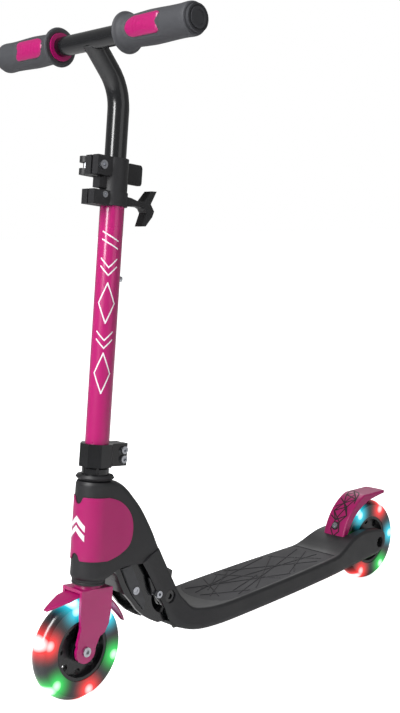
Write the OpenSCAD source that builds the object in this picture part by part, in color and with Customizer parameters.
// Children's folding kick scooter: deck, folding neck, steered fork, telescopic bar, foot brake, light-up wheels.
// +X forward, +Y to the rider's left, +Z up, millimetres.
// The origin is on the ground, midway between the axles.

/* [Overall] */
// Distance between the two axles
wheelbase = 560; // [520:1:640]
// Height of the handlebar's centre line along the steering axis, from the front axle
bar_reach = 697; // [690:1:760]
// Backward lean of the steering axis, in degrees
head_lean = 7.5; // [6:0.5:9]
// Handlebar width, end cap to end cap
bar_width = 340; // [300:1:420]

/* [Wheels] */
// Wheel radius
wheel_r = 60; // [58:0.5:62]
// Tyre width
tyre_w = 24; // [20:1:26]
// Radius where the tyre sits on the core
core_r = 36; // [34:1:40]
// Axle bolt diameter
axle_d = 8; // [6:1:10]
// Wheel bearing outer diameter
bearing_d = 22; // [19:1:24]
// Wheel bearing width
bearing_w = 7; // [5:1:8]
// Lights in each wheel
light_count = 6; // [4:1:8]
// Openings in each wheel core
opening_count = 8; // [6:1:9]

/* [Stem and handlebar] */
// Stem tube outer diameter
stem_d = 28.6; // [28:0.1:30]
// T-bar tube diameter
bar_d = 25.4; // [22:0.1:25.6]
// Crossbar tube diameter
cross_d = 22.2; // [19:0.1:25]
// Tube wall of the T-bar
bar_wall = 1.6; // [1.2:0.1:2]
// How far the crossbar sits ahead of the steering axis
bar_forward = 44; // [30:1:60]
// Bend of the T-bar's neck, in degrees
bar_bend = 44; // [35:1:50]
// Radius of that bend
bend_r = 60; // [50:1:75]
// Distance between two height settings
height_pitch = 15; // [13:1:20]
// Length of one grip
grip_l = 112; // [95:1:125]
// Grip radius
grip_r = 18; // [16:0.5:20]
// Grip flange radius
flange_r = 22.5; // [20:0.5:25]

/* [Fork and headset] */
// Distance of the front axle ahead of the steering axis
fork_offset = 11.5; // [8:0.5:16]
// Inner width between the fork blades
fork_gap = 28; // [26:1:32]
// Fork blade thickness
blade_t = 4; // [3:0.5:5]
// Steerer tube diameter
steerer_d = 25.4; // [22:0.1:25.4]
// Headset bearing outer diameter
headset_d = 30; // [29:0.5:31]
// Head tube outer diameter
head_tube_d = 34; // [33:0.5:36]
// Length of the head tube
head_tube_l = 110; // [100:1:120]

/* [Neck] */
// Radius of the neck cover round the head tube
neck_r = 22; // [21:0.5:25]
// Half width of the neck cover at its back
neck_half_w = 27; // [25:0.5:30]
// Wall of the moulded covers
cover_wall = 2.4; // [1.8:0.1:3]
// Thickness of the magenta neck panel
panel_t = 1.2; // [0.8:0.1:2]

/* [Fold] */
// Pivot of the fold, ahead of the origin
pivot_x = 154; // [150:1:158]
// Pivot of the fold, above the ground
pivot_z = 94; // [92:1:98]
// Pivot bolt diameter
pivot_d = 10; // [8:1:12]
// Radius of the arc where the neck cover meets the cheeks
seam_r = 66; // [65:0.5:68]
// Radius of the folding bracket round the pivot
lug_r = 33; // [31:0.5:33.5]
// Half width of the folding bracket
bracket_half_w = 20.5; // [19:0.5:21]

/* [Deck] */
// Height of the deck's top
deck_top = 69; // [67:0.5:72]
// Height of the deck's underside
deck_under = 42; // [38:0.5:44]
// Half width of the deck
deck_half_w = 50; // [46:1:58]
// Wall of the moulded deck
deck_wall = 3; // [2.4:0.1:4]
// Half width of the slot for the rear wheel
slot_half_w = 20.5; // [20:0.5:21.5]

/* [Brake] */
// Outer radius of the brake mudguard round the rear axle
brake_r = 79; // [78:0.5:84]
// Half width of the brake mudguard
brake_half_w = 18.5; // [16:0.5:19.5]
// Gap between the brake pad and the tyre at rest
brake_gap = 4; // [3.9:0.1:6]

/* [Fits] */
// Radial gap of parts that turn or slide on each other
fit = 0.08; // [0.03:0.01:0.1]
// Gap between parts that pass without touching
pass = 0.5; // [0.4:0.1:0.8]

/* [Hidden] */
$fn = 64;
EPS = 0.01;
front_x = wheelbase / 2;
rear_x = -wheelbase / 2;
hub_half = tyre_w / 2;
axle_r = axle_d / 2;
fork_half = fork_gap / 2 + blade_t;
light_end = wheel_r - 6;
// Levels along the steering axis, measured from the foot of the front axle
guard_in = wheel_r + 5;
guard_t = 3;
crown_under = guard_in + guard_t;
crown_top = crown_under + 4;
race_top = crown_top + 4;
seal_top = race_top + 6;
head_low = seal_top + 2;
head_high = head_low + head_tube_l;
cone_low = head_high + pass + 2.5;
cone_top = cone_low + 7;
nut_top = cone_top + 9;
clamp_low = nut_top + 0.5;
clamp_h = 27;
clamp_top = clamp_low + clamp_h;
lower_bolt_levels = [clamp_low + 8, clamp_low + 19];
stem_low = clamp_low + 1;
steerer_top = clamp_top + 18;
bend_low = bar_reach - bend_r * sin(bar_bend)
    - (bar_forward - bend_r * (1 - cos(bar_bend))) / tan(bar_bend);
stem_top = bend_low - 57;
top_clamp_top = stem_top + 1;
top_clamp_ear_h = 22;
top_clamp_low = top_clamp_top - 39;
hook_h = 16;
hook_low = top_clamp_low - hook_h;
button_s = stem_top - 137;
bar_low = button_s - 15;
stem_bore = bar_d / 2 + fit;
bar_run = (bar_forward - bend_r * (1 - cos(bar_bend))) / sin(bar_bend);
setting_count = 7;
button_turn = 150;
pivot_bore = pivot_d / 2 + fit;
// Neck cover: levels along the steering axis, and how far its back reaches at each
neck_levels = [
    head_low - 1.5, head_low + 2, head_low + 11, head_low + 28, head_low + 51, head_low + 77,
    head_high - 17, head_high - 7, head_high - 1, head_high + 2.5
];
neck_backs = [112, 111, 106, 91, 78, 61, 47, 37, 29, 22.5];
panel_low = head_low + 21;
panel_high = head_high - 15;
crown_half_x = 23;
// Fold: latch pivot and lock bar, measured from the fold's pivot; the lug's cut back; the fold's range
latch_x = 17;
latch_z = 7;
latch_reach = norm([latch_x, latch_z]);
bar_x = 49;
bar_z = 19;
lug_back = 14;
fold_max = 86;
// Grips: inner end, the ends of the moulded pad, and how far the pad is turned forward
grip_in = bar_width / 2 - grip_l;
insert_y0 = grip_in + 14;
insert_y1 = grip_in + 68;
pad_turn = 84;
// Deck: tread panel and inner frame
tread_x0 = rear_x + 118;
tread_x1 = pivot_x - 66;
tread_d = 1.6;
frame_half = slot_half_w - 3.5;
screw_places = [[rear_x + 135, 26], [pivot_x - 110, 34]];
// Brake: hinge, sheet, the angles that the mudguard covers, and its screw
brake_hinge_x = rear_x + 78;
brake_hinge_z = wheel_r + 2;
sheet_t = 2.5;
brake_low = 7;
brake_high = 111;
screw_turn = 27;
MAGENTA = "#B5126B";
BLACK = "#202023";

// A rod along Y between two sides
module y_rod(r, y0, y1) {
    translate([0, y0, 0]) rotate([-90, 0, 0]) cylinder(r = r, h = y1 - y0);
}
// The same on both sides
module both_sides() {
    children();
    mirror([0, 1, 0]) children();
}
// Everything that turns with the fork: local Z is the steering axis, local X points forward
module steer_frame() {
    translate([front_x - fork_offset * cos(head_lean), 0, wheel_r - fork_offset * sin(head_lean)])
        rotate([0, -head_lean, 0]) children();
}
module front_axle() { steer_frame() translate([fork_offset, 0, 0]) children(); }
module rear_axle() { translate([rear_x, 0, wheel_r]) children(); }
module at_pivot() { translate([pivot_x, 0, pivot_z]) children(); }
// A plate lying in X-Z, between two values of Y
module xz_plate(y0, y1) {
    translate([0, y1, 0]) rotate([90, 0, 0]) linear_extrude(y1 - y0) children();
}
// A screw along +Y: shank, then a button head with a hex socket; its head rests at y = 0
module screw(r, shank, head_r, head_h) {
    difference() {
        union() {
            y_rod(r, -shank, 0);
            y_rod(head_r, 0, head_h);
        }
        translate([0, head_h * 0.4, 0]) rotate([-90, 0, 0]) cylinder(r = head_r * 0.5, h = head_h, $fn = 6);
    }
}

// ---- Wheels ----
module tyre() {
    crown = tyre_w * 0.62;
    color("#3A3A40", 0.75) difference() {
        rotate([90, 0, 0]) rotate_extrude($fn = 96) intersection() {
            translate([core_r, -tyre_w / 2]) square([wheel_r - core_r, tyre_w]);
            translate([wheel_r - crown, 0]) circle(r = crown, $fn = 72);
        }
        for (i = [0 : light_count - 1])
            rotate([0, i * 360 / light_count, 0]) rotate([0, 90, 0]) cylinder(r = 3.1, h = light_end + 0.1);
    }
}
module wheel_core() {
    seat_r = bearing_d / 2;
    opening_r = (core_r + seat_r) / 2 + 3.8;
    color(BLACK) difference() {
        rotate([90, 0, 0]) rotate_extrude($fn = 96) union() {
            translate([seat_r - 2.5, -hub_half]) square([6, tyre_w]);
            translate([seat_r, -4]) square([core_r - seat_r, 8]);
            translate([core_r - 4, -hub_half + 1]) square([4, tyre_w - 2]);
        }
        both_sides() y_rod(seat_r, hub_half - bearing_w, hub_half + 1);
        for (i = [0 : opening_count - 1])
            rotate([0, i * 360 / opening_count, 0]) translate([opening_r, 0, 0]) y_rod(4.2, -tyre_w, tyre_w);
    }
}
module wheel_bearings() {
    color("silver") both_sides() difference() {
        y_rod(bearing_d / 2, hub_half - bearing_w, hub_half);
        y_rod(axle_r + fit, 0, hub_half + 1);
        difference() {
            y_rod(bearing_d / 2 - 2, hub_half - 0.8, hub_half + 1);
            y_rod(bearing_d / 2 - 4.5, 0, hub_half + 1);
        }
    }
}
module wheel_lights() {
    color("#E8FFF8") for (i = [0 : light_count - 1])
        rotate([0, i * 360 / light_count, 0]) rotate([0, 90, 0]) translate([0, 0, core_r])
            cylinder(r = 3, h = light_end - core_r);
}
module front_tyre() { front_axle() tyre(); }
module front_wheel_core() { front_axle() wheel_core(); }
module front_wheel_bearings() { front_axle() wheel_bearings(); }
module front_wheel_lights() { front_axle() wheel_lights(); }
module rear_tyre() { rear_axle() tyre(); }
module rear_wheel_core() { rear_axle() wheel_core(); }
module rear_wheel_bearings() { rear_axle() wheel_bearings(); }
module rear_wheel_lights() { rear_axle() wheel_lights(); }

// ---- Axles: bolt head on the left, nut on the right, spacers between bearing and fork ----
module axle_bolt(outer) {
    color("silver") translate([0, outer, 0]) screw(axle_r, outer * 2 + 4.5, axle_r + 1.6, 2.6);
}
module axle_nut(outer) {
    color("silver") difference() {
        translate([0, -outer - 5, 0]) rotate([-90, 0, 0]) cylinder(r = axle_r + 3, h = 5, $fn = 6);
        y_rod(axle_r, -outer - 6, -outer + 1);
    }
}
module axle_spacers(outer) {
    color("gray") both_sides() difference() {
        y_rod(axle_r + 2, hub_half, outer);
        y_rod(axle_r, 0, outer + 1);
    }
}
module magnet_sleeve() {
    color("dimgray") difference() {
        y_rod(bearing_d / 2 - 3.2, -hub_half + bearing_w, hub_half - bearing_w);
        y_rod(axle_r, -hub_half, hub_half);
    }
}
module front_axle_bolt() { front_axle() axle_bolt(fork_half); }
module front_axle_nut() { front_axle() axle_nut(fork_half); }
module front_axle_spacers() { front_axle() axle_spacers(fork_gap / 2); }
module front_magnet_sleeve() { front_axle() magnet_sleeve(); }

// ---- Fork ----
module blade_outline() {
    union() {
        translate([fork_offset, 0]) circle(r = 14);
        polygon([
            [fork_offset - 13.8, 2], [-8, 15], [-15, 19], [-20.5, 29], [-crown_half_x, 48],
            [-crown_half_x, crown_top], [crown_half_x, crown_top], [crown_half_x, 48],
            [21, 27], [fork_offset + 13.6, 8], [fork_offset, 0]
        ]);
    }
}
module fork() {
    color(MAGENTA) steer_frame() difference() {
        union() {
            both_sides() xz_plate(fork_gap / 2, fork_half) blade_outline();
            hull() both_sides() translate([0, fork_half - 3, 0]) for (x = [-1, 1])
                translate([x * (crown_half_x - 3), 0, crown_under]) cylinder(r = 3, h = 4, $fn = 32);
            translate([0, 0, crown_top - EPS]) cylinder(d1 = 33, d2 = 31, h = 4 + EPS);
            translate([0, 0, crown_under]) cylinder(d = steerer_d, h = steerer_top - crown_under);
        }
        translate([0, 0, crown_under - 1]) cylinder(d = steerer_d - 5, h = steerer_top);
        translate([fork_offset, 0, 0]) y_rod(axle_r, -fork_half - 1, fork_half + 1);
    }
}
// A curved sheet round a Y axis: angle, inner radius and half width each run from end to end
module curved_sheet(a0, a1, radius, half_w, t, steps = 24, across = 4) {
    function ring(u) = let (a = a0 + (a1 - a0) * u, r = radius(u), w = half_w(u)) concat(
        [for (j = [0 : across]) [r * cos(a), w * (2 * j / across - 1), r * sin(a)]],
        [for (j = [across : -1 : 0]) [(r + t) * cos(a), w * (2 * j / across - 1), (r + t) * sin(a)]]);
    for (i = [0 : steps - 1]) hull() loft([ring(i / steps), ring((i + 1) / steps)]);
}
// A solid through equal rings of points
module loft(rings) {
    n = len(rings[0]);
    m = len(rings);
    polyhedron(
        points = [for (r = rings) each r],
        faces = concat(
            [[for (j = [n - 1 : -1 : 0]) j]],
            [[for (j = [0 : n - 1]) (m - 1) * n + j]],
            [for (i = [0 : m - 2]) for (j = [0 : n - 1])
                each [
                    [i * n + j, i * n + (j + 1) % n, (i + 1) * n + (j + 1) % n],
                    [i * n + j, (i + 1) * n + (j + 1) % n, (i + 1) * n + j]
                ]]));
}
module front_mudguard() {
    front_tip = 46;
    rear_tip = 162;
    function flare(u) = guard_in + 5 * pow(max(0, 1 - u * 5), 2) + 7 * pow(max(0, (u - 0.7) / 0.3), 2);
    function leaf(u) = 0.6 + (fork_gap / 2 - 0.6) * min(1, 5 * u, 3.4 * (1 - u));
    color(MAGENTA) front_axle() curved_sheet(front_tip, rear_tip, function(u) flare(u), function(u) leaf(u), guard_t);
}

// ---- Headset ----
module ring_on_axis(low, high, r_out, r_in) {
    translate([0, 0, low]) difference() {
        cylinder(r = r_out, h = high - low);
        translate([0, 0, -1]) cylinder(r = r_in, h = high - low + 2);
    }
}
module lower_seal() {
    color(BLACK) steer_frame() difference() {
        union() {
            ring_on_axis(race_top, seal_top, 19.8, steerer_d / 2);
            ring_on_axis(seal_top, head_low + 1, headset_d / 2 - 2, steerer_d / 2);
        }
        translate([0, 0, race_top + 3]) rotate_extrude() translate([20.3, 0]) circle(r = 1.2);
    }
}
bearing_h = 7;
module headset_bearings() {
    color("silver") steer_frame() {
        ring_on_axis(head_low + 1.5, head_low + 1.5 + bearing_h, headset_d / 2, steerer_d / 2 + fit);
        ring_on_axis(head_high - bearing_h, head_high, headset_d / 2, steerer_d / 2 + fit);
    }
}
module head_tube() {
    color("#303034") steer_frame() difference() {
        ring_on_axis(head_low, head_high, head_tube_d / 2, headset_d / 2 - 1.2);
        translate([0, 0, head_low - 1]) cylinder(d = headset_d, h = bearing_h + 2.5);
        translate([0, 0, head_high - bearing_h]) cylinder(d = headset_d, h = bearing_h + 1);
    }
}
module headset_cone() {
    color(BLACK) steer_frame() difference() {
        union() {
            translate([0, 0, cone_low + 4]) cylinder(r1 = 22.8, r2 = 21, h = 3);
            translate([0, 0, cone_low]) cylinder(r1 = 18.5, r2 = 22.8, h = 4);
            translate([0, 0, head_high + 0.3]) cylinder(r = 14, h = cone_low - head_high);
        }
        translate([0, 0, head_low]) cylinder(d = steerer_d, h = steerer_top);
    }
}
module headset_lock_nut() {
    color(BLACK) steer_frame() difference() {
        translate([0, 0, cone_top]) union() {
            cylinder(r = 16, h = nut_top - cone_top - 2);
            translate([0, 0, nut_top - cone_top - 2]) cylinder(r1 = 16, r2 = 14.8, h = 2);
        }
        translate([0, 0, head_low]) cylinder(d = steerer_d, h = steerer_top);
        for (a = [0 : 60 : 300]) rotate([0, 0, a]) translate([17.5, 0, cone_top - 1]) cylinder(r = 2.6, h = 20);
    }
}

// ---- Stem ----
module lower_clamp() {
    ear_x = -38;
    bolt_x = -32;
    color("#2A2A2E") steer_frame() difference() {
        union() {
            translate([0, 0, clamp_low]) rotate([0, 0, 22.5]) cylinder(r = 20.5, h = clamp_h, $fn = 8);
            translate([ear_x, -11, clamp_low]) cube([-ear_x, 22, clamp_h]);
        }
        translate([0, 0, clamp_low - 1]) cylinder(d = stem_d, h = clamp_h + 2);
        translate([ear_x - 1, -1.2, clamp_low - 1]) cube([-ear_x, 2.4, clamp_h + 2]);
        for (s = lower_bolt_levels) translate([bolt_x, 0, s]) y_rod(2.5, -12, 12);
    }
}
module lower_clamp_bolts() {
    color("silver") steer_frame() for (s = lower_bolt_levels)
        translate([-32, 11, s]) screw(2.5, 22, 4.6, 3);
}
module stem_tube() {
    color(MAGENTA) steer_frame() difference() {
        ring_on_axis(stem_low, stem_top, stem_d / 2, stem_bore);
        for (i = [-(setting_count - 1) / 2 : (setting_count - 1) / 2])
            translate([0, 0, button_s + i * height_pitch]) rotate([0, 0, button_turn])
                rotate([0, 90, 0]) cylinder(r = 3.7, h = stem_d);
        translate([-stem_d, -1, stem_top - 30]) cube([stem_d, 2, 31]);
    }
}
clamp_bolt_x = 27;
clamp_bolt_s = top_clamp_top - top_clamp_ear_h / 2;
top_clamp_r = stem_d / 2 + 1.9;
module top_clamp() {
    ear_low = top_clamp_top - top_clamp_ear_h;
    color("#26262A") steer_frame() difference() {
        union() {
            translate([0, 0, top_clamp_low]) cylinder(r = top_clamp_r, h = top_clamp_top - top_clamp_low);
            translate([0, -11, ear_low]) cube([clamp_bolt_x + 7, 22, top_clamp_ear_h]);
            translate([0, -6, top_clamp_low + 3]) cube([clamp_bolt_x - 1, 12, top_clamp_ear_h - 8]);
        }
        translate([0, 0, top_clamp_low - 1]) cylinder(d = stem_d, h = stem_top - top_clamp_low + 1);
        translate([0, 0, stem_top - EPS]) cylinder(r = stem_bore, h = 3);
        translate([1, -1.4, ear_low - 2]) cube([clamp_bolt_x + 10, 2.8, top_clamp_ear_h + 4]);
        translate([clamp_bolt_x - 7, -12, ear_low - 2.5]) cube([20, 24, 2.5]);
        translate([clamp_bolt_x, 0, clamp_bolt_s]) y_rod(3, -12, 12);
    }
}
cam_y = -19.5;
cam_r = 7.5;
module top_clamp_bolt() {
    color("silver") steer_frame() {
        translate([clamp_bolt_x, 11, clamp_bolt_s]) screw(3, 22 + 4.6, 5, 3.5);
        translate([clamp_bolt_x, cam_y, clamp_bolt_s - 10]) cylinder(r = 3, h = 20);
    }
}
module clamp_lever() {
    lobe_h = 8;
    lever_end = -52;
    color("#242428") steer_frame() difference() {
        union() {
            for (z = [clamp_bolt_s - 10.5, clamp_bolt_s + 2.5])
                translate([clamp_bolt_x, cam_y, z]) cylinder(r = cam_r, h = lobe_h);
            translate([0, 0, clamp_bolt_s - 10.5]) linear_extrude(21) lever_plan(lever_end);
            hull() for (z = [-8, 8]) for (x = [lever_end - 2, lever_end + 14])
                translate([x, -21.5, clamp_bolt_s + z]) rotate([-90, 0, 12]) cylinder(r = 4.5, h = 4, $fn = 28);
        }
        translate([clamp_bolt_x, cam_y, clamp_bolt_s - 12]) cylinder(r = 3 + fit, h = 24);
        translate([clamp_bolt_x - 4.5, cam_y - 12, clamp_bolt_s - 3.5]) cube([20, 30, 7]);
    }
}
module lever_plan(lever_end) {
    polygon([
        [clamp_bolt_x, cam_y - cam_r], [clamp_bolt_x - 14, cam_y - 8], [0, cam_y - 7], [-18, cam_y - 4.5],
        [lever_end, cam_y - 0.5], [lever_end, cam_y + 2.5], [-18, cam_y - 1], [0, cam_y - 1.5],
        [clamp_bolt_x - 14, cam_y - 1.5], [clamp_bolt_x - 6, cam_y + 2], [clamp_bolt_x, cam_y + 2]
    ]);
}
module hook_bracket() {
    prong = 13;
    low = hook_low;
    color("#26262A") steer_frame() difference() {
        union() {
            translate([0, 0, low]) cylinder(r = stem_d / 2 + 3, h = hook_h);
            translate([8, -11, low - 1]) cube([29, 22, hook_h + 1]);
            xz_plate(-prong / 2, prong / 2) translate([0, low]) hook_outline();
        }
        translate([0, 0, low - 2]) cylinder(d = stem_d, h = hook_h + 4);
        translate([10, -1, low - 2]) cube([30, 2, hook_h + 4]);
        translate([22, 0, low + 11]) y_rod(2, -12, 12);
    }
}
// Arm, upward finger and downward catch of the hook, from the ring backwards
module hook_outline() {
    polygon([
        [-15, 13], [-23, 12.5], [-38, 9], [-43, 11], [-54, 24.5], [-62, 25], [-54, 9], [-60, 1], [-57.5, -6],
        [-48, -18], [-42, -18.5], [-47.5, -2], [-44, 2.5], [-40, 4], [-25, 3.5], [-15, 1]
    ]);
}
module hook_bolt() {
    color("silver") steer_frame() translate([22, 11, hook_low + 11]) screw(2, 21, 3.6, 2.4);
}

// ---- Handlebar ----
// The tubes run a little way into the bend, which is a hair thicker, so that the three pieces join cleanly
module bar_path(r) {
    into = 0.5;
    bend_x = bend_r * (1 - cos(bar_bend));
    translate([0, 0, bar_low]) cylinder(r = r, h = bend_low - bar_low + into);
    translate([bend_r, 0, bend_low]) rotate([90, 0, 0]) rotate([0, 0, 180 - bar_bend])
        rotate_extrude(angle = bar_bend) translate([bend_r, 0]) circle(r = r + 0.05);
    translate([bend_x, 0, bend_low + bend_r * sin(bar_bend)]) rotate([0, bar_bend, 0])
        translate([0, 0, -into]) cylinder(r = r, h = bar_run + into);
}
module at_crossbar() { steer_frame() translate([bar_forward, 0, bar_reach]) children(); }
module t_bar() {
    half = bar_width / 2 - 6;
    color("#1C1C20") difference() {
        union() {
            steer_frame() bar_path(bar_d / 2);
            at_crossbar() y_rod(cross_d / 2, -half, half);
        }
        steer_frame() translate([0, 0, bar_low - 1]) cylinder(r = bar_d / 2 - bar_wall, h = bend_low - bar_low + 1);
        at_crossbar() y_rod(cross_d / 2 - bar_wall, -half - 1, half + 1);
        steer_frame() translate([0, 0, button_s]) rotate([0, 0, button_turn]) rotate([0, 90, 0])
            cylinder(r = 3.3 + fit, h = bar_d);
    }
}
module height_button() {
    color("silver") steer_frame() translate([0, 0, button_s]) rotate([0, 0, button_turn]) rotate([0, 90, 0]) {
        cylinder(r = 3.3, h = stem_d / 2 + 1.6);
        translate([0, 0, stem_d / 2 + 1.6]) scale([1, 1, 0.5]) sphere(r = 3.3, $fn = 40);
        translate([0, 0, 3]) cylinder(r = 5, h = 2.4);
    }
}
// Half outline of a grip, from the flange to the end, as radius against Y
module grip_profile() {
    end = bar_width / 2 - 5;
    polygon([
        [cross_d / 2, grip_in], [flange_r - 1.5, grip_in], [flange_r, grip_in + 1.5], [flange_r - 0.5, grip_in + 4],
        [grip_r + 0.6, grip_in + 8.5], [grip_r - 0.6, grip_in + 18], [grip_r + 0.6, grip_in + 45],
        [grip_r - 0.4, grip_in + 75], [grip_r - 0.6, grip_in + 92], [grip_r, end - 4], [grip_r - 1, end - 1],
        [grip_r - 3, end], [cross_d / 2, end]
    ]);
}
module grip() {
    color("#4A4B50") at_crossbar() difference() {
        rotate([-90, 0, 0]) rotate_extrude() grip_profile();
        insert_zone(0.15);
    }
}
// The moulded pad on the upper front of the grip
module insert_zone(gap) {
    y0 = insert_y0 - gap;
    y1 = insert_y1 + gap;
    r0 = 14.5 - gap;
    w = 13 + gap;
    intersection() {
        rotate([0, pad_turn, 0]) linear_extrude(40) union() {
            translate([-w, y0 + w]) square([2 * w, y1 - y0 - w]);
            translate([0, y0 + w]) circle(r = w);
        }
        difference() {
            y_rod(40, y0 - 1, y1 + 1);
            y_rod(r0, y0 - 2, y1 + 2);
        }
    }
}
module left_grip() { grip(); }
module right_grip() { mirror([0, 1, 0]) grip(); }
module grip_inserts() {
    color(MAGENTA) both_sides() at_crossbar() difference() {
        intersection() {
            rotate([-90, 0, 0]) rotate_extrude() offset_profile(0.5);
            insert_zone(0);
        }
        for (i = [0 : 3]) rotate([0, pad_turn, 0]) translate([-7, insert_y0 + 16 + i * 9, grip_r + 0.4]) cube([14, 3, 4]);
    }
}
module offset_profile(d) {
    translate([d, 0]) grip_profile();
    translate([cross_d / 2, grip_in]) square([d + 1, grip_l - 5]);
}
module grip_rings() {
    color(MAGENTA) both_sides() at_crossbar() difference() {
        y_rod(cross_d / 2 + 5, grip_in - 1.6, grip_in);
        y_rod(cross_d / 2, grip_in - 2, grip_in + 1);
    }
}
module bar_end_caps() {
    end = bar_width / 2;
    color("#2A2A2E") both_sides() at_crossbar() difference() {
        union() {
            y_rod(grip_r - 3.4, end - 5, end - 1);
            y_rod(grip_r - 7, end - 1, end);
            y_rod(cross_d / 2 - bar_wall, end - 22, end - 5);
        }
        difference() {
            y_rod(grip_r - 5.4, end - 1.8, end + 1);
            y_rod(grip_r - 7, end - 2, end + 1);
        }
        y_rod(grip_r - 10, end - 0.8, end + 1);
    }
}

// ---- Neck ----
// Outline of the neck cover at one level: round front, flat flanks, rounded back; grown by g
function neck_section(i, g) = let (
        shrink = i == 0 || i == len(neck_levels) - 1 ? 1.6 : 0,
        r = neck_r + g - shrink,
        back = neck_backs[i] + g,
        w = neck_r + (neck_half_w - neck_r) * min(1, max(0, (back - neck_r) / 60)) + g - shrink,
        c = min(12, w - 0.5, back - 4),
        side = concat(
            [for (a = [0 : 6 : 90]) [r * cos(a), r * sin(a)]],
            [for (a = [90 : 9 : 180]) [-back + c + c * cos(a), w - c + c * sin(a)]])
    ) concat(
        [for (p = side) [p[0], p[1], neck_levels[i]]],
        [for (k = [len(side) - 1 : -1 : 1]) [side[k][0], -side[k][1], neck_levels[i]]]);
module neck_form(g) {
    for (i = [0 : len(neck_levels) - 2]) hull() loft([neck_section(i, g), neck_section(i + 1, g)]);
}
// What the front wheel, the cheeks and the bracket need free below the cover
module neck_undercut(g) {
    foot = head_low - 1.5 + g;
    xz_plate(-60, 60) polygon([
        [40, 60], [40, foot], [0, foot], [-12, foot + 3.5], [-22, foot + 9.5], [-38, foot + 13.5],
        [-150, foot + 13.5], [-150, 60]
    ]);
}
module neck_solid(g) {
    difference() {
        steer_frame() difference() {
            neck_form(g);
            neck_undercut(-g);
        }
        at_pivot() y_rod(seam_r + pass - g, -60, 60);
    }
}
module neck_cover() {
    color(BLACK) difference() {
        neck_solid(0);
        difference() {
            neck_solid_inner();
            steer_frame() translate([0, 0, head_high - 14]) cylinder(r = head_tube_d / 2 + 2, h = 20);
            steer_frame() translate([0, 0, 80]) cylinder(r = head_tube_d / 2 + 2, h = 14);
        }
        steer_frame() translate([0, 0, 60]) cylinder(d = head_tube_d + 0.2, h = 160);
    }
}
module neck_solid_inner() {
    steer_frame() intersection() {
        neck_form(-cover_wall);
        translate([-200, -60, 60]) cube([300, 120, head_high - 60]);
    }
}
module panel_outline() {
    polygon([
        [40, panel_low], [-12, panel_low], [-38, panel_low + 16], [-41.5, panel_low + 25],
        [-41.5, panel_low + 43], [-37.5, panel_high - 21], [-31, panel_high - 14],
        [-19, panel_high - 4.5], [-6, panel_high], [40, panel_high]
    ]);
}
module neck_panel() {
    color(MAGENTA) steer_frame() difference() {
        intersection() {
            neck_form(panel_t);
            xz_plate(-60, 60) panel_outline();
        }
        neck_form(0);
        for (s = [panel_low, panel_high]) translate([0, 0, s]) rotate([0, 90, 0]) linear_extrude(60) rotate([0, 0, 45])
            square(10, center = true);
    }
}
module front_mark() {
    proud = 0.7;
    color("white") steer_frame() intersection() {
        difference() {
            neck_form(panel_t + proud);
            neck_form(panel_t);
        }
        translate([10, 0, panel_low + 38]) rotate([90, 0, 90]) linear_extrude(30) for (y = [-11, 0])
            translate([0, y]) polygon([[-12, -4], [0, 7], [12, -4], [12, 3], [0, 14], [-12, 3]]);
    }
}
// Side outline of the folding bracket, measured from the pivot
module bracket_outline() {
    union() {
        difference() {
            circle(r = lug_r);
            rotate(155) translate([lug_back, -60]) square([60, 120]);
        }
        polygon([
            [0, -lug_r], [14, -31.5], [25, -25], [36, -17], [47, -6], [56, 7], [65, 18], [72, 34], [77, 47], [84, 62], [60, 110],
            [40, 100], [18, 64], [4, 40], [-14, 28]
        ]);
    }
}
module neck_bracket() {
    latch_turn = atan2(latch_z, latch_x);
    color("#1E1E22") difference() {
        at_pivot() difference() {
            union() {
                both_sides() xz_plate(14, bracket_half_w - 2.4) bracket_outline();
                intersection() {
                    xz_plate(-14 - EPS, 14 + EPS) bracket_outline();
                    difference() {
                        y_rod(200, -30, 30);
                        y_rod(seam_r + 2, -31, 31);
                    }
                }
            }
            y_rod(pivot_bore, -30, 30);
            xz_plate(-30, 30) rotate(latch_turn - fold_max - 13) arc_slot(latch_reach, 4.2, fold_max + 26);
            translate([bar_x, 0, bar_z]) y_rod(3, -30, 30);
        }
        steer_frame() translate([0, 0, 60]) cylinder(d = head_tube_d, h = 160);
    }
}
// A slot round the origin, starting at angle 0
module arc_slot(r, half, angle) {
    intersection() {
        difference() {
            circle(r = r + half);
            circle(r = r - half);
        }
        polygon([for (t = [0, 0.25, 0.5, 0.75, 1]) [60 * cos(angle * t), 60 * sin(angle * t)], [0, 0]]);
    }
}
module neck_side_plates() {
    color("#8D8D90") at_pivot() both_sides() xz_plate(bracket_half_w - 2.4, bracket_half_w) difference() {
        polygon([[69, 51], [54, 52], [44, 27], [35, 2], [37, -8], [43, 0], [52, 12], [61, 30]]);
        translate([bar_x, bar_z]) circle(r = 3);
    }
}
module lock_bar_bolt() {
    color("silver") at_pivot() translate([bar_x, bracket_half_w, bar_z]) {
        screw(3, 2 * bracket_half_w + 1.2, 4.8, 1.0);
        translate([0, -2 * bracket_half_w - 1.2, 0]) y_rod(4.4, -0.01, 1.2);
    }
}

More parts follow.
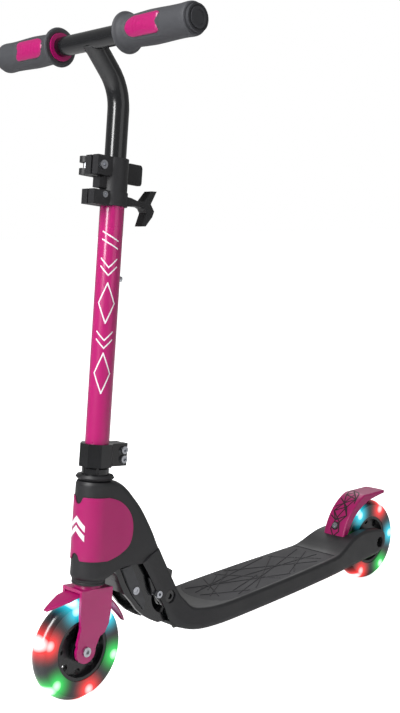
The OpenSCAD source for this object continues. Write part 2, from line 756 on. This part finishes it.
// ---- Deck ----
// Stations of the deck from tail to cheeks: back or top point, front or bottom point, half width
function deck_stations() = let (t = deck_top, b = deck_under, w = deck_half_w, px = pivot_x, pz = pivot_z) [
    [[rear_x - 17, 70], [rear_x - 17, 51], w - 23], [[rear_x - 12, 75], [rear_x - 12, 45.5], w - 21.5],
    [[rear_x + 2, 80.5], [rear_x + 2, b - 1], w - 20], [[rear_x + 20, 84], [rear_x + 20, b - 1.5], w - 18.5],
    [[rear_x + 42, 86.5], [rear_x + 42, b - 1.5], w - 16.5], [[rear_x + 66, 85], [rear_x + 66, b - 1], w - 13.5],
    [[rear_x + 84, 80], [rear_x + 84, b - 0.5], w - 11], [[rear_x + 102, 73.5], [rear_x + 102, b], w - 8.5],
    [[rear_x + 120, t + 0.5], [rear_x + 120, b], w - 6.5], [[rear_x + 160, t], [rear_x + 160, b], w - 4],
    [[rear_x + 240, t], [rear_x + 240, b], w - 1], [[px - 104, t], [px - 104, b], w],
    [[px - 72, t], [px - 66, b], w - 1.5], [[px - 52, t + 0.5], [px - 36, b + 1.5], w - 6],
    [[px - 33, t + 4], [px - 17, b + 6.5], w - 12.5], [[px - 24, pz - 11], [px - 3, b + 15], w - 17.5],
    [[px - 16.5, pz + 0.5], [px + 8, pz - 14], w - 21], [[px - 8, pz + 18], [px + 19, pz + 7], w - 21.5],
    [[px + 4, pz + 43], [px + 31, pz + 32], w - 21.5], [[px + 18, pz + 74], [px + 48, pz + 62], w - 21.5]
];
// Rounded section between a top and a bottom point, drawn in by g
function deck_section(st, g) = let (
        d = st[0] - st[1],
        h = norm(d),
        u = d / h,
        w = st[2] - g,
        hi = h - g,
        rt = max(1, min(4.5, h / 3) - g / 2),
        rb = max(1, min(9, h / 3) - g / 2),
        half = concat(
            [for (a = [90 : -15 : 0]) [w - rt + rt * cos(a), hi - rt + rt * sin(a)]],
            [for (a = [0 : -15 : -90]) [w - rb + rb * cos(a), g + rb + rb * sin(a)]])
    ) concat(
        [for (p = half) [st[1][0] + u[0] * p[1], p[0], st[1][1] + u[1] * p[1]]],
        [for (k = [len(half) - 1 : -1 : 0])
            [st[1][0] + u[0] * half[k][1], -half[k][0], st[1][1] + u[1] * half[k][1]]]);
module deck_form(g) { loft([for (st = deck_stations()) deck_section(st, g)]); }
// Plan of the tread panel: straight sides, round front
module tread_plan(g) {
    w1 = deck_half_w - 6 - g;
    w0 = deck_half_w - 14 - g;
    polygon(concat(
        [[tread_x0 + g, -w0], [tread_x0 + g, w0], [rear_x + 240, w1 - 1], [tread_x1 - 30, w1]],
        [for (a = [75 : -15 : -75]) [tread_x1 - 30 - g + 30 * cos(a), w1 * sin(a)]],
        [[tread_x1 - 30, -w1], [rear_x + 240, 1 - w1]]));
}
module deck_shell() {
    color(BLACK) difference() {
        deck_form(0);
        // Hollow underneath, with the floor open
        intersection() {
            deck_form(deck_wall);
            translate([rear_x + 112, -60, 0]) cube([pivot_x - 46 - rear_x - 112, 120, 200]);
        }
        translate([rear_x + 118, -deck_half_w + 16, deck_under - 5])
            cube([pivot_x - 60 - rear_x - 118, 2 * deck_half_w - 32, 12]);
        // Slot for the rear wheel and the brake
        translate([rear_x - 40, -slot_half_w, 0]) cube([40 + 66, 2 * slot_half_w, 200]);
        translate([rear_x + 60, -slot_half_w, deck_top]) cube([50, 2 * slot_half_w, 60]);
        translate([rear_x + 60, -slot_half_w, deck_under + 3.5]) cube([28, 2 * slot_half_w, 60]);
        // Passage for the frame's channel
        translate([rear_x + 60, -frame_half - 3, deck_under + 3.5])
            cube([pivot_x - 51 - rear_x - 60, 2 * frame_half + 6, deck_top - 8.5 - deck_under - 3.5]);
        translate([rear_x + 60, -deck_half_w, deck_top + 30]) cube([50, 2 * deck_half_w, 60]);
        // Room between the cheeks for the folding bracket
        at_pivot() {
            y_rod(lug_r + pass, -bracket_half_w - 4, bracket_half_w + 4);
            translate([-30, -bracket_half_w - 4, 6]) cube([110, 2 * bracket_half_w + 8, 120]);
            translate([0, -bracket_half_w - 4, -34]) cube([60, 2 * bracket_half_w + 8, 160]);
            translate([-48, -bracket_half_w - 4, -13]) cube([60, 2 * bracket_half_w + 8, 100]);
            difference() {
                y_rod(160, -60, 60);
                y_rod(seam_r, -61, 61);
                translate([-600, -60, -160]) cube([640, 120, 170]);
            }
            y_rod(pivot_d / 2 + 3.2, -60, 60);
            translate([latch_x, 0, latch_z]) y_rod(4.7, -60, 60);
            both_sides() xz_plate(bracket_half_w, bracket_half_w + 3.5)
                polygon([[-47, -18], [-46.5, -34], [-41, -47], [-7.5, -45], [10, -12], [-12, 10]]);
        }
        translate([0, 0, deck_top - tread_d]) linear_extrude(tread_d + 0.4) tread_plan(0);
        // Blind pockets for the axle's nut and head, with a hole for the key on the left
        rear_axle() {
            y_rod(axle_r + 4, -frame_half - 8, frame_half + 8);
            y_rod(3.4, 0, 60);
        }
        for (p = screw_places) both_sides() translate([p[0], p[1], deck_under - 10]) cylinder(r = 4, h = 14);
    }
}
// Raised lines of the tread: each from a point to a point
tread_lines = [
    [[-150, -30], [40, 38]], [[-120, 34], [-10, -40]], [[-60, 38], [70, -30]], [[-100, -36], [10, 40]],
    [[-150, 10], [60, -12]], [[-20, -40], [76, 14]], [[-150, -12], [-60, 36]], [[20, 40], [84, 0]]
];
module deck_tread() {
    color("#333338") union() {
        translate([0, 0, deck_top - tread_d]) linear_extrude(tread_d) tread_plan(0);
        translate([0, 0, deck_top - 0.5]) linear_extrude(1.3) intersection() {
            tread_plan(1);
            union() for (l = tread_lines) let (d = l[1] - l[0])
                translate(l[0]) rotate(atan2(d[1], d[0])) translate([0, -1.1]) square([norm(d), 2.2]);
        }
    }
}
module deck_frame() {
    color("#17171A") difference() {
        union() {
            // Channel under the deck
            translate([rear_x + 85, -frame_half - 2.5, deck_top - 12])
                cube([pivot_x - 52 - rear_x - 85, 2 * frame_half + 5, 3]);
            both_sides() translate([rear_x + 68, frame_half, deck_under + 4])
                cube([pivot_x - 52 - rear_x - 68, 2.5, deck_top - 12 - deck_under - 4]);
            // Plates that carry the rear axle and the brake's pin
            both_sides() xz_plate(frame_half, frame_half + 2.5) polygon([
                [rear_x + 86, deck_under + 4], [rear_x + 86, 63], [rear_x + 83, 66], [rear_x + 74, 66.3],
                [rear_x + 64, 65.5], [rear_x + 30, 74],
                [rear_x - 8, 70], [rear_x - 10, 52], [rear_x + 20, deck_under + 4]
            ]);
        }
        rear_axle() y_rod(axle_r, -60, 60);
        translate([brake_hinge_x, 0, brake_hinge_z]) y_rod(2.5, -60, 60);
    }
}
module hinge_plates() {
    y0 = bracket_half_w + 0.5;
    color("#17171A") at_pivot() both_sides() difference() {
        xz_plate(y0, y0 + 2.5) union() {
            circle(r = 14);
            polygon([[-12, -8], [14, -4], [26, 12], [30, 30], [12, 34], [-4, 20]]);
            polygon([[-45, -34], [-40, -46], [-8, -44], [8, -12], [-12, 8], [-18, -20]]);
        }
        y_rod(pivot_d / 2, 0, 60);
        translate([latch_x, 0, latch_z]) y_rod(3, 0, 60);
    }
}
module pivot_bolt() {
    seat = bracket_half_w + 3;
    color("#101012") at_pivot() {
        translate([0, seat, 0]) screw(pivot_d / 2, 2 * seat + 4, pivot_d / 2 + 2.7, 3.4);
        difference() {
            y_rod(8, -13.5, 13.5);
            y_rod(pivot_d / 2 - EPS, -14, 14);
        }
    }
}
module pivot_nut() {
    color("#101012") at_pivot() difference() {
        translate([0, -bracket_half_w - 7, 0]) rotate([-90, 0, 0]) cylinder(r = pivot_d / 2 + 3, h = 4, $fn = 6);
        y_rod(pivot_d / 2, -60, 0);
    }
}
module latch_bolt() {
    seat = bracket_half_w + 3;
    color("silver") at_pivot() translate([latch_x, seat, latch_z]) {
        screw(3, 2 * seat + 3, 4.4, 4.2);
        translate([0, -2 * seat - 3, 0]) y_rod(4.2, 0, 3);
    }
}
module fold_latch() {
    color("#2A2A2E") at_pivot() difference() {
        xz_plate(-6, 6) union() {
            translate([latch_x, latch_z]) circle(r = 7);
            polygon([
                [12, 13], [22, 1.6], [40, 9], [44, 14.5], [45, 19.5], [45.3, 22.6], [47.6, 23.2], [49.2, 23.6],
                [48.2, 25.6], [45.5, 26.2], [41.5, 24], [36, 19], [24, 14.5], [15, 17], [-6, 23.5], [-12, 26],
                [-15.5, 24.5], [-14.5, 21], [-6, 16]
            ]);
        }
        translate([latch_x, 0, latch_z]) y_rod(3 + fit, -10, 10);
        translate([bar_x, 0, bar_z]) y_rod(3.5, -10, 10);
    }
}
module latch_spring() {
    color("silver") at_pivot() translate([latch_x, 0, latch_z]) for (i = [0 : 4])
        translate([0, 7.2 + i * 1.4, 0]) rotate([90, 0, 0]) rotate_extrude($fn = 32)
            translate([4.6, 0]) circle(r = 0.6, $fn = 14);
}
module deck_screws() {
    color("silver") for (p = screw_places) both_sides()
        translate([p[0], p[1], deck_under + 4]) rotate([-90, 0, 0]) screw(1.8, 10, 3.4, 2);
}
module rear_axle_bolt() { rear_axle() axle_bolt(frame_half + 2.5); }
module rear_axle_nut() { rear_axle() axle_nut(frame_half + 2.5); }
module rear_axle_spacers() { rear_axle() axle_spacers(frame_half); }
module rear_magnet_sleeve() { rear_axle() magnet_sleeve(); }

// ---- Brake ----
module brake_pin() {
    color("silver") translate([brake_hinge_x, 0, brake_hinge_z]) y_rod(2.5, -frame_half - 2.5, frame_half + 2.5);
}
module rear_brake_mudguard() {
    skirt_r = brake_r - 8.5;
    color(MAGENTA) rear_axle() difference() {
        rotate([90, 0, 0]) rotate([0, 0, brake_low]) rotate_extrude(angle = brake_high - brake_low, $fn = 96)
            difference() {
                translate([skirt_r, -brake_half_w]) square([brake_r - skirt_r, 2 * brake_half_w]);
                translate([skirt_r - 1, -brake_half_w + sheet_t])
                    square([brake_r - sheet_t - skirt_r + 1, 2 * (brake_half_w - sheet_t)]);
                for (y = [-1, 1]) translate([brake_r, y * brake_half_w]) circle(r = 1.4, $fn = 4);
            }
        rotate([0, -screw_turn, 0]) rotate([0, 90, 0]) cylinder(r = 2, h = 100);
    }
}
module brake_bracket() {
    back = brake_r - sheet_t;
    half = slot_half_w - 3.5;
    color("#2A2A2E") difference() {
        union() {
            rear_axle() intersection() {
                difference() {
                    y_rod(back - 0.1, -half + 3, half - 3);
                    y_rod(back - 2.1, -half, half);
                }
                xz_plate(-30, 30) polygon([[0, 0], [100, 0], [100, 9], [100 * cos(38), 100 * sin(38)]]);
            }
            translate([brake_hinge_x, 0, brake_hinge_z]) both_sides() xz_plate(half - 5, half - 3) union() {
                circle(r = 5);
                polygon([[-5, 0], [5, 0], [-3.2, 7], [-6, 22], [-9, 22]]);
            }
        }
        translate([brake_hinge_x, 0, brake_hinge_z]) y_rod(2.5 + fit, -60, 60);
        rear_axle() rotate([0, -screw_turn, 0]) rotate([0, 90, 0]) cylinder(r = 2, h = 100);
    }
}
module brake_pad() {
    pad_r = wheel_r + brake_gap;
    color("#151517") rear_axle() intersection() {
        difference() {
            y_rod(brake_r - sheet_t - 0.1, -9, 9);
            y_rod(pad_r, -10, 10);
        }
        xz_plate(-10, 10) polygon([[0, 0], [100 * cos(50), 100 * sin(50)], [100 * cos(74), 100 * sin(74)]]);
    }
}
module brake_screw() {
    color("white") rear_axle() rotate([0, -screw_turn, 0]) translate([brake_r, 0, 0]) rotate([0, 0, -90])
        screw(2, 9, 4.2, 2);
}

front_tyre();
front_wheel_core();
front_wheel_bearings();
front_wheel_lights();
rear_tyre();
rear_wheel_core();
rear_wheel_bearings();
rear_wheel_lights();
fork();
front_mudguard();
front_axle_bolt();
front_axle_nut();
front_axle_spacers();
front_magnet_sleeve();
lower_seal();
headset_cone();
headset_lock_nut();
lower_clamp();
lower_clamp_bolts();
stem_tube();
top_clamp();
top_clamp_bolt();
hook_bracket();
hook_bolt();
clamp_lever();
t_bar();
left_grip();
right_grip();
grip_inserts();
grip_rings();
bar_end_caps();
height_button();
head_tube();
headset_bearings();
neck_cover();
neck_panel();
front_mark();
neck_bracket();
neck_side_plates();
lock_bar_bolt();
deck_shell();
deck_tread();
deck_frame();
hinge_plates();
pivot_bolt();
pivot_nut();
latch_bolt();
latch_spring();
fold_latch();
deck_screws();
rear_axle_bolt();
rear_axle_nut();
rear_axle_spacers();
rear_magnet_sleeve();
brake_pin();
rear_brake_mudguard();
brake_bracket();
brake_pad();
brake_screw();
